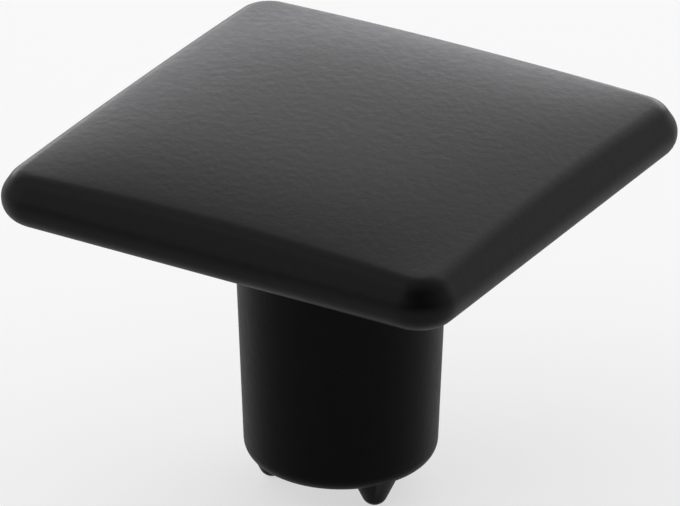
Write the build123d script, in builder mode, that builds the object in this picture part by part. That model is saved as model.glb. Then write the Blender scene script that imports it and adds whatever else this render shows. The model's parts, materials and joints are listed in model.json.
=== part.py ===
from build123d import *
import math
import os

# Square cabinet knob: one zinc die casting with a crowned head, a drafted stem and locating nibs.
# Millimetres, +Z up, origin at the centre of the foot face that seats on the cabinet front.

# Head, square in plan, with a spherical face and flanks that lean in towards it
HEAD_SIDE = 35.0
CORNER_RADIUS = 2.95
CROWN_RADIUS = 300.0
FACE_ROUND = 1.0  # between the face and a flank
FLANK_LEAN = 33.0  # degrees from the upright
FLANK_WIDTH = 0.75  # flat between a flank's two rounds at a corner, where the face is lowest
EDGE_ROUND = 1.6  # above and below the head's widest line
SIDE_BAND = 0.05  # upright strip left between those two rounds

# Stem, round and narrowing towards the foot
STEM_LENGTH = 20.3
NECK_DIAMETER = 14.8
NECK_FLARE = 0.6  # bevel that widens the stem where it meets the head
FOOT_DIAMETER = 13.45
FOOT_ROUND = 1.25

# Nibs, which bite into the cabinet front so that the knob can't turn
NIB_COUNT = 3
FIRST_NIB_ANGLE = 90.0
NIB_EDGE_INSET = 2.0  # from the foot's outer edge to a nib's axis
NIB_HEIGHT = 1.92
NIB_TIP_RADIUS = 0.92
NIB_TAPER = 25.0  # degrees between a nib's flank and its axis

# Blind screw hole, drilled for an M4 thread
TAP_DRILL_DIAMETER = 3.3
HOLE_DEPTH = 12.0  # at full diameter, from the foot face
DRILL_POINT_ANGLE = 118.0
COUNTERSINK_DIAMETER = 4.4
COUNTERSINK_ANGLE = 90.0

# A round takes up its radius times the tangent of half its turn on each of the faces that it joins
flank_turn = math.radians(FLANK_LEAN)
face_turn = math.radians(90 - FLANK_LEAN)
edge_trim = EDGE_ROUND * math.tan(flank_turn / 2)
face_trim = FACE_ROUND * math.tan(face_turn / 2)

# Upright side, with the flank above it
side_height = EDGE_ROUND + SIDE_BAND + edge_trim
flank_length = edge_trim + FLANK_WIDTH + face_trim
flank_inset = flank_length * math.sin(flank_turn)
flank_rise = flank_length * math.cos(flank_turn)

# The crown is lowest at the face's corners, where it ends the flanks at that rise
face_corner_reach = math.sqrt(2) * (HEAD_SIDE / 2 - CORNER_RADIUS) + CORNER_RADIUS - flank_inset
crown_drop = CROWN_RADIUS - math.sqrt(CROWN_RADIUS**2 - face_corner_reach**2)
head_thickness = side_height + flank_rise + crown_drop
crown_centre_height = STEM_LENGTH + head_thickness - CROWN_RADIUS

# A nib's flank runs on into the round of the foot
nib_circle_radius = FOOT_DIAMETER / 2 - NIB_EDGE_INSET
nib_root_height = FOOT_ROUND / 2

tap_drill_radius = TAP_DRILL_DIAMETER / 2
drill_point_height = tap_drill_radius / math.tan(math.radians(DRILL_POINT_ANGLE / 2))
countersink_radius = COUNTERSINK_DIAMETER / 2
countersink_depth = (countersink_radius - tap_drill_radius) / math.tan(math.radians(COUNTERSINK_ANGLE / 2))


# One nib on its own axis: a round tip that runs tangent into a conical flank
with BuildPart() as nib:
    with BuildSketch(Plane.XZ):
        with BuildLine():
            tip = CenterArc((0, NIB_TIP_RADIUS - NIB_HEIGHT), NIB_TIP_RADIUS, -90, 90 - NIB_TAPER)
            flank = PolarLine(
                tip @ 1,
                nib_root_height - (tip @ 1).Y,
                direction=tip % 1,
                length_mode=LengthMode.VERTICAL,
            )
            Polyline(flank @ 1, (0, nib_root_height), tip @ 0)
        make_face()
    revolve(axis=Axis.Z)


with BuildPart() as knob:
    # Head: upright sides, then flanks that lean in
    with BuildSketch(Plane.XY.offset(STEM_LENGTH)):
        RectangleRounded(HEAD_SIDE, HEAD_SIDE, CORNER_RADIUS)
    extrude(amount=side_height)
    side_top = knob.faces().sort_by(Axis.Z)[-1]
    extrude(side_top, amount=flank_rise + crown_drop, taper=FLANK_LEAN)

    # Rounds below and above the widest line
    level_edges = knob.edges().filter_by(Plane.XY).group_by(Axis.Z)
    underside_edges, widest_edges = level_edges[:2]
    fillet(underside_edges + widest_edges, EDGE_ROUND)

    # Crowned face, cut by a sphere laid on its side, and the round that runs down to the flanks
    with Locations((0, 0, crown_centre_height)):
        Sphere(CROWN_RADIUS, rotation=(90, 0, 0), mode=Mode.INTERSECT)
    face = knob.faces().sort_by(Axis.Z)[-1]
    fillet(face.edges(), FACE_ROUND)

    # Stem, turned from a drafted section with a rounded foot
    with BuildSketch(Plane.XZ) as stem_section:
        with BuildLine():
            Polyline(
                (0, 0),
                (FOOT_DIAMETER / 2, 0),
                (NECK_DIAMETER / 2, STEM_LENGTH),
                (0, STEM_LENGTH),
                close=True,
            )
        make_face()
        fillet(stem_section.vertices().group_by(Axis.Y)[0].sort_by(Axis.X)[-1], FOOT_ROUND)
    revolve(axis=Axis.Z)

    # Flare where the stem meets the head's underside
    underside = knob.faces().filter_by(Axis.Z).sort_by(Axis.Z)[-1]
    chamfer(underside.inner_wires()[0].edges(), NECK_FLARE)

    # Nibs
    with PolarLocations(nib_circle_radius, NIB_COUNT, start_angle=FIRST_NIB_ANGLE):
        add(nib.part)

    # Screw hole with its countersunk mouth and drill point
    with BuildSketch(Plane.XZ):
        with BuildLine():
            Polyline(
                (0, 0),
                (countersink_radius, 0),
                (tap_drill_radius, countersink_depth),
                (tap_drill_radius, HOLE_DEPTH),
                (0, HOLE_DEPTH + drill_point_height),
                close=True,
            )
        make_face()
    revolve(axis=Axis.Z, mode=Mode.SUBTRACT)

knob.part.label = "knob"

os.makedirs("parts", exist_ok=True)
export_step(knob.part, "parts/knob.step")
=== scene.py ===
import json
import math

import bmesh
import bpy
from mathutils import Matrix, Vector


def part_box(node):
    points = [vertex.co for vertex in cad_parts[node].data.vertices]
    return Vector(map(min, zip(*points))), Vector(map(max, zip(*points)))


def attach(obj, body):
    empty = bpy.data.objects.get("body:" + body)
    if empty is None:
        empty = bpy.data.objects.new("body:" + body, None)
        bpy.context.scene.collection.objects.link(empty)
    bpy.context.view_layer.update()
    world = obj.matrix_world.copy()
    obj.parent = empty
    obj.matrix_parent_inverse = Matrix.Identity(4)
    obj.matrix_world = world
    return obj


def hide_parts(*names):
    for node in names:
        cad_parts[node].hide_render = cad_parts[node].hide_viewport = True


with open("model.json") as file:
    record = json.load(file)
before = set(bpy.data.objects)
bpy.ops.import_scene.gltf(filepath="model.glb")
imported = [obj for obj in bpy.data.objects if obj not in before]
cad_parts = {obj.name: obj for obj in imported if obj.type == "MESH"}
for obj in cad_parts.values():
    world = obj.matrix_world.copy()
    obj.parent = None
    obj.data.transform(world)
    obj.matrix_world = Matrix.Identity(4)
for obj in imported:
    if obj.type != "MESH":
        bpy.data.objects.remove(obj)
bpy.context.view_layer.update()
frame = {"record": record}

MM = 0.001
RIGHT_ANGLE = math.radians(90)

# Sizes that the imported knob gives
knob_low, knob_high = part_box("knob")
HEAD_HALF = knob_high.x
FACE_TOP = knob_high.z
NIB_HEIGHT = -knob_low.z
screw_hole = next(mount for mount in frame["record"]["mounts"] if mount["name"] == "screw_hole")
TAP_DRILL_RADIUS = screw_hole["dims"]["r_mm"] * MM

# Head
CORNER_RADIUS = 2.95 * MM
CROWN_RADIUS = 300 * MM
FACE_LIFT = 0.07 * MM  # keeps the outline where the CAD's smaller face round has it
FACE_SWELL = 0.35 * MM  # pillow of the face above its crown, which fades out at the edges
SWELL_POWER = 4  # the higher, the nearer to the edges the pillow falls off
FACE_ROUND = 1.5 * MM  # between the face and a flank
FLANK_LEAN = math.radians(33)  # from the upright
FLANK_WIDTH = 0.563 * MM  # flat between a flank's two rounds at a corner, where the face is lowest
EDGE_ROUND = 1.6 * MM  # above and below the head's widest line
SIDE_BAND = 0.05 * MM  # upright strip between those two rounds

# Stem
NECK_RADIUS = 7.4 * MM
NECK_FLARE = 0.6 * MM  # bevel that widens the stem where it meets the head
FOOT_RADIUS = 6.725 * MM
FOOT_ROUND = 1.25 * MM

# Nibs
NIB_COUNT = 3
FIRST_NIB_ANGLE = math.radians(90)
NIB_EDGE_INSET = 2 * MM  # from the foot's outer edge to a nib's axis
NIB_CIRCLE_RADIUS = FOOT_RADIUS - NIB_EDGE_INSET
NIB_TIP_RADIUS = 0.92 * MM
NIB_TAPER = math.radians(25)  # between a nib's flank and its axis
NIB_ROOT_HEIGHT = FOOT_ROUND / 2  # inside the foot

# Screw hole, with the M4 thread that is cut into its wall
HOLE_DEPTH = 12 * MM
DRILL_POINT_ANGLE = math.radians(118)
COUNTERSINK_RADIUS = 2.2 * MM
THREAD_PITCH = 0.7 * MM
THREAD_RADIUS = 2 * MM
THREAD_GROOVE_SHARE = 7 / 8  # of the pitch, the rest being the flat crest
THREAD_END = 10.2 * MM  # where the groove has run out, short of the drilled end
TAP_OVERRUN = FOOT_ROUND / 2  # past the foot face, for a clean cut

# Mesh
SIDE_STEPS = 72
CORNER_STEPS = 14
FACE_STEPS = 36
ROUND_STEPS = 9
FLANK_STEPS = 3
UNDERSIDE_STEPS = 5
STEM_STEPS = 24
NIB_STEPS = 40
THREAD_TURN_STEPS = 48
THREAD_PITCH_STEPS = 10
FOOT_FLAT_SHARE = 0.95  # ring of the foot's flat that keeps its shading even
SHARP_ANGLE = math.radians(32)  # edges with a larger bend aren't smoothed

# Coat, with the scales of its noise in features a metre
COAT_DARK = (0.0015, 0.0015, 0.0016, 1)
COAT_LIGHT = (0.0028, 0.0028, 0.0029, 1)
COAT_ROUGHNESS = (0.36, 0.41)
MOTTLE_SCALE = 1100.0
MOTTLE_DETAIL = 4.0
MOTTLE_SPAN = (0.3, 0.7)  # part of the noise over which colour and roughness change
GRAIN_SCALE = 1400.0
GRAIN_DETAIL = 3.0
GRAIN_HEIGHT = 0.03 * MM
GRAIN_STRENGTH = 0.6
NOISE_ROUGHNESS = 0.6

# Sheen of the coat, lowered under the head as painted shade
HEAD_SHEEN = 0.12
# painted shade: less sheen below the head's widest line, which darkens the underside, stem and nibs
SHADED_STEM_SHEEN = 0.055
FACING_BLEND = 0.5  # measures grazing as one less the cosine of the angle at which the coat is seen
GRAZING_SPAN = (0.57, 0.92)
GRAZING_SHEEN = 0.4  # share of the sheen that is left at the end of that span

# Floor
FLOOR_HALF = 3.0
FLOOR_COLOUR = (0.9, 0.9, 0.9, 1)
FLOOR_ROUGHNESS = 0.9
FLOOR_GLOW = 0.6  # share of plain white in the floor as it is seen, beside its lit colour

# Surroundings, pale but for the dark behind the camera
PALE_LEVEL = 0.68
DARK_LEVEL = 0.1
DARK_SPAN = (0.3, 0.75)  # share of a direction that points back at the camera
WHITE = (1, 1, 1)
COOL = (0.965, 0.965, 1)
WARM = (1, 0.945, 0.93)

# Softboxes, as seen from the head: bearing clockwise from the camera's, height, width and tallness,
# all in degrees, then a level, of which 1 is white, and a tint
SOFTBOX_DISTANCE = 0.7
SOFTBOXES = {
    "back_low": (176, 7.5, 66, 17, 4.8, COOL),
    "back_high": (185, 43, 26, 14, 0.5, WHITE),
    "back_right": (217, 39, 40, 27, 1.4, WHITE),
    "right_low": (246, 16, 36, 30, 0.7, WARM),
    "left": (72, 32, 50, 50, 0.7, WHITE),
    "left_high": (118, 60, 60, 30, 0.5, WHITE),
}

# Camera, placed by its bearing and height round the middle of the knob
CAMERA_AZIMUTH = math.radians(30.757)
CAMERA_ELEVATION = math.radians(26.611)
CAMERA_ROLL = math.radians(0.122)
CAMERA_DISTANCE = 697.01 * MM
CAMERA_LEFT = 0.083 * MM
CAMERA_RISE = 2.48 * MM
CAMERA_LENS = 542.0  # millimetres, on a sensor 36 mm wide
CAMERA_CLIP_START = 10 * MM

# A round takes up its radius times the tangent of half its turn on each of the faces that it joins
edge_trim = EDGE_ROUND * math.tan(FLANK_LEAN / 2)
face_trim = FACE_ROUND * math.tan((RIGHT_ANGLE - FLANK_LEAN) / 2)

# Head's side: an upright strip, with a leaning flank above it that the crown ends
side_height = EDGE_ROUND + SIDE_BAND + edge_trim
flank_length = edge_trim + FLANK_WIDTH + face_trim
corner_inset = HEAD_HALF - CORNER_RADIUS
face_corner_reach = math.sqrt(2) * corner_inset + CORNER_RADIUS - flank_length * math.sin(FLANK_LEAN)
crown_top = FACE_TOP + FACE_LIFT
crown_centre = Vector((0, 0, crown_top - CROWN_RADIUS))
face_corner_height = crown_centre.z + math.sqrt(CROWN_RADIUS**2 - face_corner_reach**2)
stem_length = face_corner_height - flank_length * math.cos(FLANK_LEAN) - side_height


def head_columns():
    """Points round the head's widest line, each with its way out, as plan vectors."""
    columns = []
    for quarter in range(4):
        turn = Matrix.Rotation(quarter * RIGHT_ANGLE, 3, "Z")
        out = Vector((1, 0, 0))
        for i in range(SIDE_STEPS):
            along = corner_inset * (2 * i / SIDE_STEPS - 1)
            columns.append((turn @ Vector((HEAD_HALF, along, 0)), turn @ out))
        corner = Vector((corner_inset, corner_inset, 0))
        for i in range(CORNER_STEPS):
            angle = RIGHT_ANGLE * i / CORNER_STEPS
            out = Vector((math.cos(angle), math.sin(angle), 0))
            columns.append((turn @ (corner + CORNER_RADIUS * out), turn @ out))
    return columns


def face_round_ball(edge, out):
    """Centre of the ball that touches the flank and the crown from inside, at one column of the head."""
    slope = 1 / math.tan(FLANK_LEAN)
    start = stem_length + side_height - FACE_ROUND / math.sin(FLANK_LEAN) - crown_centre.z
    reach = CROWN_RADIUS - FACE_ROUND
    # Inset at which the ball, kept on the flank, touches the crown: the positive root of a quadratic
    half_linear = start * slope - edge.dot(out)
    constant = edge.length_squared + start**2 - reach**2
    square = 1 + slope**2
    inset = (math.sqrt(half_linear**2 - square * constant) - half_linear) / square
    return edge - inset * out + Vector((0, 0, crown_centre.z + start + slope * inset))


def face_edges(balls):
    """Where the face ends at each column, the way that it faces there, and how far it reaches."""
    crown_ways = [(ball - crown_centre).normalized() for ball in balls]
    edges = [crown_centre + CROWN_RADIUS * way for way in crown_ways]
    reach = max(edge.x for edge in edges)
    steepness = SWELL_POWER * FACE_SWELL / reach
    ways = []
    for edge, way in zip(edges, crown_ways):
        x, y = edge.x / reach, edge.y / reach
        slope = Vector((
            steepness * x ** (SWELL_POWER - 1) * (1 - y**SWELL_POWER),
            steepness * y ** (SWELL_POWER - 1) * (1 - x**SWELL_POWER),
            0,
        ))
        ways.append((way + slope).normalized())
    return edges, ways, reach


def stem_profile():
    """Radius and height down the stem, from the foot of the neck's bevel to the flat of the foot."""
    draft = math.atan2(NECK_RADIUS - FOOT_RADIUS, stem_length)
    top_radius = NECK_RADIUS - NECK_FLARE * math.tan(draft)
    top_height = stem_length - NECK_FLARE

    # Foot round, which runs tangent from the drafted wall to the foot face
    round_centre_radius = FOOT_RADIUS - FOOT_ROUND * math.tan((RIGHT_ANGLE + draft) / 2)
    foot_round = []
    for i in range(ROUND_STEPS + 1):
        turn = -draft - (RIGHT_ANGLE - draft) * i / ROUND_STEPS
        foot_round.append((
            round_centre_radius + FOOT_ROUND * math.cos(turn),
            FOOT_ROUND + FOOT_ROUND * math.sin(turn),
        ))

    # Drafted wall above it
    low_radius, low_height = foot_round[0]
    wall = []
    for i in range(STEM_STEPS):
        share = i / STEM_STEPS
        wall.append((
            top_radius + (low_radius - top_radius) * share,
            top_height + (low_height - top_height) * share,
        ))
    foot_flat = (foot_round[-1][0] * FOOT_FLAT_SHARE, 0)
    return wall + foot_round + [foot_flat]


def casting_rings():
    """Rings of points, from round the middle of the face out to the rim, then down to the foot."""
    columns = head_columns()
    up = Vector((0, 0, 1))
    flank_ways = [math.cos(FLANK_LEAN) * out + math.sin(FLANK_LEAN) * up for _, out in columns]
    balls = [face_round_ball(edge, out) for edge, out in columns]
    edges, face_ways, reach = face_edges(balls)
    rings = []

    # Face
    for i in range(1, FACE_STEPS):
        ring = []
        for edge in edges:
            x, y = edge.x * i / FACE_STEPS, edge.y * i / FACE_STEPS
            crown = crown_centre.z + math.sqrt(CROWN_RADIUS**2 - x**2 - y**2)
            swell = FACE_SWELL * (1 - (x / reach) ** SWELL_POWER) * (1 - (y / reach) ** SWELL_POWER)
            ring.append(Vector((x, y, crown + swell)))
        rings.append(ring)

    # Round from the face to the flank
    for i in range(ROUND_STEPS + 1):
        share = i / ROUND_STEPS
        rings.append([
            ball + FACE_ROUND * upper.slerp(lower, share)
            for ball, upper, lower in zip(balls, face_ways, flank_ways)
        ])

    # Flat of the flank, then the rounds above and below the widest line
    side_turns = []
    for i in range(ROUND_STEPS + 1):
        side_turns.append((FLANK_LEAN * (1 - i / ROUND_STEPS), stem_length + EDGE_ROUND + SIDE_BAND))
    for i in range(ROUND_STEPS + 1):
        side_turns.append((-RIGHT_ANGLE * i / ROUND_STEPS, stem_length + EDGE_ROUND))
    side_rings = []
    for turn, centre_height in side_turns:
        inset = EDGE_ROUND * (1 - math.cos(turn))
        height = centre_height + EDGE_ROUND * math.sin(turn)
        side_rings.append([edge - inset * out + height * up for edge, out in columns])
    flank_top = rings[-1]
    for i in range(1, FLANK_STEPS):
        share = i / FLANK_STEPS
        rings.append([upper.lerp(lower, share) for upper, lower in zip(flank_top, side_rings[0])])
    rings += side_rings

    # Flat underside, then the stem
    outline = rings[-1]
    round_ways = [point.xy.normalized().to_3d() for point in outline]
    for i in range(1, UNDERSIDE_STEPS + 1):
        share = i / UNDERSIDE_STEPS
        rings.append([
            point.lerp((NECK_RADIUS + NECK_FLARE) * way + stem_length * up, share)
            for point, way in zip(outline, round_ways)
        ])
    for radius, height in stem_profile():
        rings.append([radius * way + height * up for way in round_ways])
    return rings


def build_casting():
    """Head and stem as one closed mesh."""
    rings = casting_rings()
    mesh = bmesh.new()
    middle = mesh.verts.new((0, 0, crown_top + FACE_SWELL))
    upper = [mesh.verts.new(point) for point in rings[0]]
    for i, vert in enumerate(upper):
        mesh.faces.new([middle, vert, upper[i - 1]])
    for points in rings[1:]:
        lower = [mesh.verts.new(point) for point in points]
        for i in range(len(lower)):
            mesh.faces.new([upper[i], lower[i], lower[i - 1], upper[i - 1]])
        upper = lower
    mesh.faces.new(upper)
    bmesh.ops.recalc_face_normals(mesh, faces=mesh.faces)
    return mesh


def lathe(profile, steps, reach=lambda radius, height, turn: radius):
    """A closed mesh turned about Z from (radius, height) points that start and end on the axis.

    The reach gives the radius to use at each height and turn.
    """
    mesh = bmesh.new()
    first = mesh.verts.new((0, 0, profile[0][1]))
    last = mesh.verts.new((0, 0, profile[-1][1]))
    rings = []
    for radius, height in profile[1:-1]:
        ring = []
        for i in range(steps):
            turn = 2 * math.pi * i / steps
            out = reach(radius, height, turn)
            ring.append(mesh.verts.new((out * math.cos(turn), out * math.sin(turn), height)))
        rings.append(ring)
    for i in range(steps):
        j = (i + 1) % steps
        mesh.faces.new([first, rings[0][i], rings[0][j]])
        mesh.faces.new([last, rings[-1][j], rings[-1][i]])
        for upper, lower in zip(rings, rings[1:]):
            mesh.faces.new([upper[i], lower[i], lower[j], upper[j]])
    bmesh.ops.recalc_face_normals(mesh, faces=mesh.faces)
    return mesh


def build_nib():
    """One nib on its own axis: a round tip on a conical flank that ends inside the foot."""
    tip_centre = NIB_TIP_RADIUS - NIB_HEIGHT
    profile = [(0, -NIB_HEIGHT)]
    for i in range(1, ROUND_STEPS + 1):
        turn = (RIGHT_ANGLE - NIB_TAPER) * i / ROUND_STEPS - RIGHT_ANGLE
        profile.append((NIB_TIP_RADIUS * math.cos(turn), tip_centre + NIB_TIP_RADIUS * math.sin(turn)))
    tip_radius, tip_height = profile[-1]
    root_radius = tip_radius + (NIB_ROOT_HEIGHT - tip_height) * math.tan(NIB_TAPER)
    profile += [(root_radius, NIB_ROOT_HEIGHT), (0, NIB_ROOT_HEIGHT)]
    return lathe(profile, NIB_STEPS)


def build_tap():
    """The screw hole's hollow: countersink, cut thread, plain end and drill point."""
    profile = [(0, -TAP_OVERRUN), (COUNTERSINK_RADIUS + TAP_OVERRUN, -TAP_OVERRUN)]
    rows = round(HOLE_DEPTH / THREAD_PITCH * THREAD_PITCH_STEPS)
    for i in range(rows + 1):
        profile.append((TAP_DRILL_RADIUS, HOLE_DEPTH * i / rows))
    profile.append((0, HOLE_DEPTH + TAP_DRILL_RADIUS / math.tan(DRILL_POINT_ANGLE / 2)))

    def reach(radius, height, turn):
        """Widens the wall by the thread's groove, and the mouth by the countersink."""
        if height < 0:
            return radius
        phase = (height / THREAD_PITCH - turn / (2 * math.pi)) % 1
        depth = max(0, 1 - abs(2 * phase - 1) / THREAD_GROOVE_SHARE)
        run_out = min(1, max(0, (THREAD_END - height) / THREAD_PITCH))
        groove = TAP_DRILL_RADIUS + (THREAD_RADIUS - TAP_DRILL_RADIUS) * depth * run_out
        return max(groove, COUNTERSINK_RADIUS - height)

    return lathe(profile, THREAD_TURN_STEPS, reach)


def new_object(name, mesh):
    """An object made from a bmesh, with smooth faces."""
    data = bpy.data.meshes.new(name)
    mesh.to_mesh(data)
    mesh.free()
    data.shade_smooth()
    piece = bpy.data.objects.new(name, data)
    bpy.context.scene.collection.objects.link(piece)
    return piece


def apply_boolean(piece, tool, operation):
    """Joins a tool to a piece, or cuts it out, and removes the tool."""
    modifier = piece.modifiers.new(operation.lower(), "BOOLEAN")
    modifier.operation = operation
    modifier.solver = "EXACT"
    modifier.object = tool
    graph = bpy.context.evaluated_depsgraph_get()
    data = bpy.data.meshes.new_from_object(piece.evaluated_get(graph))
    piece.modifiers.clear()
    piece.data = data
    bpy.data.objects.remove(tool)


def build_knob():
    """The casting with its nibs joined on and its screw hole tapped."""
    knob = new_object("knob_casting", build_casting())
    for i in range(NIB_COUNT):
        nib = new_object("nib", build_nib())
        angle = FIRST_NIB_ANGLE + 2 * math.pi * i / NIB_COUNT
        nib.location = (NIB_CIRCLE_RADIUS * math.cos(angle), NIB_CIRCLE_RADIUS * math.sin(angle), 0)
        apply_boolean(knob, nib, "UNION")
    apply_boolean(knob, new_object("tap", build_tap()), "DIFFERENCE")
    knob.data.shade_smooth()
    knob.data.set_sharp_from_angle(angle=SHARP_ANGLE)
    return knob


def node(tree, kind, *values, operation=None, **inputs):
    """A shader node, with values or links for its inputs, given in their order or by their names."""
    made = tree.nodes.new(kind)
    if operation:
        made.operation = operation
    sockets = list(zip(made.inputs, values))
    sockets += [(made.inputs[name.replace("_", " ")], value) for name, value in inputs.items()]
    for socket, value in sockets:
        if isinstance(value, bpy.types.NodeSocket):
            tree.links.new(value, socket)
        else:
            socket.default_value = value
    return made


def mapped(tree, value, source, target, smooth=False):
    """A value carried over from one span to another."""
    made = node(
        tree,
        "ShaderNodeMapRange",
        Value=value,
        From_Min=source[0],
        From_Max=source[1],
        To_Min=target[0],
        To_Max=target[1],
    )
    if smooth:
        made.interpolation_type = "SMOOTHSTEP"
    return made.outputs["Result"]


def noise(tree, where, scale, detail):
    """Even noise between 0 and 1."""
    made = node(
        tree,
        "ShaderNodeTexNoise",
        Vector=where,
        Scale=scale,
        Detail=detail,
        Roughness=NOISE_ROUGHNESS,
    )
    return made.outputs["Fac"]


def black_coat():
    """Satin black paint: a fine grain, a faint mottle in its colour and gloss, and painted shade below
    the head.
    """
    material = bpy.data.materials.new("black_coat")
    material.use_nodes = True
    tree = material.node_tree
    shader = tree.nodes["Principled BSDF"]
    where = node(tree, "ShaderNodeTexCoord").outputs["Object"]

    mottle = noise(tree, where, MOTTLE_SCALE, MOTTLE_DETAIL)
    colour = node(tree, "ShaderNodeValToRGB", Fac=mottle)
    for stop, position, shade in zip(colour.color_ramp.elements, MOTTLE_SPAN, (COAT_DARK, COAT_LIGHT)):
        stop.position = position
        stop.color = shade
    tree.links.new(colour.outputs["Color"], shader.inputs["Base Color"])
    tree.links.new(mapped(tree, mottle, MOTTLE_SPAN, COAT_ROUGHNESS), shader.inputs["Roughness"])

    grain = noise(tree, where, GRAIN_SCALE, GRAIN_DETAIL)
    bump = node(tree, "ShaderNodeBump", Height=grain, Strength=GRAIN_STRENGTH, Distance=GRAIN_HEIGHT)
    tree.links.new(bump.outputs["Normal"], shader.inputs["Normal"])

    # Sheen that fades at grazing angles, and that is lowered below the head's widest line as painted
    # shade under the head
    height = node(tree, "ShaderNodeSeparateXYZ", Vector=where).outputs["Z"]
    lower_round = (stem_length, stem_length + EDGE_ROUND)
    sheen = mapped(tree, height, lower_round, (SHADED_STEM_SHEEN, HEAD_SHEEN))
    grazing = node(tree, "ShaderNodeLayerWeight", Blend=FACING_BLEND).outputs["Facing"]
    fade = mapped(tree, grazing, GRAZING_SPAN, (1.0, GRAZING_SHEEN), smooth=True)
    level = node(tree, "ShaderNodeMath", sheen, fade, operation="MULTIPLY").outputs["Value"]
    tree.links.new(level, shader.inputs["Specular IOR Level"])
    return material


def floor_paint():
    """Plain white, partly lit up to white where it is seen, and clear from below."""
    material = bpy.data.materials.new("floor")
    material.use_nodes = True
    tree = material.node_tree
    shader = tree.nodes["Principled BSDF"]
    shader.inputs["Base Color"].default_value = FLOOR_COLOUR
    shader.inputs["Roughness"].default_value = FLOOR_ROUGHNESS
    shader.inputs["Specular IOR Level"].default_value = 0.0

    ray = node(tree, "ShaderNodeLightPath").outputs
    seen = ray["Is Camera Ray"]
    for kind in ("Is Glossy Ray", "Is Transmission Ray"):
        seen = node(tree, "ShaderNodeMath", seen, ray[kind], operation="MAXIMUM").outputs["Value"]
    share = node(tree, "ShaderNodeMath", seen, FLOOR_GLOW, operation="MULTIPLY").outputs["Value"]
    glow = node(tree, "ShaderNodeEmission", Color=(*WHITE, 1), Strength=1.0).outputs["Emission"]
    whitened = node(tree, "ShaderNodeMixShader", share, shader.outputs["BSDF"], glow).outputs["Shader"]

    below = node(tree, "ShaderNodeNewGeometry").outputs["Backfacing"]
    clear = node(tree, "ShaderNodeBsdfTransparent").outputs["BSDF"]
    one_sided = node(tree, "ShaderNodeMixShader", below, whitened, clear).outputs["Shader"]
    tree.links.new(one_sided, tree.nodes["Material Output"].inputs["Surface"])
    return material


def pale_floor(level):
    """A plain floor under the nibs."""
    mesh = bmesh.new()
    bmesh.ops.create_grid(mesh, x_segments=1, y_segments=1, size=FLOOR_HALF)
    floor = new_object("floor", mesh)
    floor.location.z = level
    floor.data.materials.append(floor_paint())


def add_world():
    """Even pale surroundings, which darken behind the camera."""
    world = bpy.data.worlds.new("surroundings")
    world.use_nodes = True
    tree = world.node_tree
    background = tree.nodes["Background"]
    way = node(tree, "ShaderNodeTexCoord").outputs["Generated"]
    to_camera = (math.sin(CAMERA_AZIMUTH), -math.cos(CAMERA_AZIMUTH), 0)
    front = node(tree, "ShaderNodeVectorMath", way, to_camera, operation="DOT_PRODUCT").outputs["Value"]
    level = mapped(tree, front, DARK_SPAN, (PALE_LEVEL, DARK_LEVEL), smooth=True)
    tree.links.new(level, background.inputs["Strength"])
    background.inputs["Color"].default_value = (*WHITE, 1)
    bpy.context.scene.world = world


def add_softbox(name, bearing, height, wide, tall, level, tint):
    """A soft panel that faces the head."""
    angle = CAMERA_AZIMUTH - math.radians(bearing)
    rise = math.radians(height)
    out = Vector((math.sin(angle) * math.cos(rise), -math.cos(angle) * math.cos(rise), math.sin(rise)))
    data = bpy.data.lights.new(name, "AREA")
    data.shape = "RECTANGLE"
    data.size = 2 * SOFTBOX_DISTANCE * math.tan(math.radians(wide) / 2)
    data.size_y = 2 * SOFTBOX_DISTANCE * math.tan(math.radians(tall) / 2)
    data.energy = level * math.pi * data.size * data.size_y
    data.color = tint
    light = bpy.data.objects.new(name, data)
    light.location = Vector((0, 0, FACE_TOP)) + out * SOFTBOX_DISTANCE
    light.rotation_euler = out.to_track_quat("Z", "Y").to_euler()
    light.visible_camera = False
    bpy.context.scene.collection.objects.link(light)


def camera_axes():
    """Unit vectors to the right, up and back of the camera, before its roll."""
    back = Vector((
        math.sin(CAMERA_AZIMUTH) * math.cos(CAMERA_ELEVATION),
        -math.cos(CAMERA_AZIMUTH) * math.cos(CAMERA_ELEVATION),
        math.sin(CAMERA_ELEVATION),
    ))
    right = Vector((math.cos(CAMERA_AZIMUTH), math.sin(CAMERA_AZIMUTH), 0))
    return right, back.cross(right), back


def add_camera():
    """A long lens that looks down on the knob from its front right."""
    flat_right, flat_up, back = camera_axes()
    right = math.cos(CAMERA_ROLL) * flat_right + math.sin(CAMERA_ROLL) * flat_up
    up = math.cos(CAMERA_ROLL) * flat_up - math.sin(CAMERA_ROLL) * flat_right
    middle = Vector((0, 0, FACE_TOP / 2))
    data = bpy.data.cameras.new("camera")
    data.lens = CAMERA_LENS
    data.clip_start = CAMERA_CLIP_START
    camera = bpy.data.objects.new("camera", data)
    place = middle - CAMERA_LEFT * right + CAMERA_RISE * up + CAMERA_DISTANCE * back
    camera.matrix_world = Matrix.Translation(place) @ Matrix((right, up, back)).transposed().to_4x4()
    bpy.context.scene.collection.objects.link(camera)
    bpy.context.scene.camera = camera


knob = build_knob()
knob.data.materials.clear()
knob.data.materials.append(black_coat())
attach(knob, "root")
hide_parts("knob")

pale_floor(knob_low.z)
add_world()
for name, values in SOFTBOXES.items():
    add_softbox(name, *values)
add_camera()
bpy.context.scene.view_settings.view_transform = "Standard"
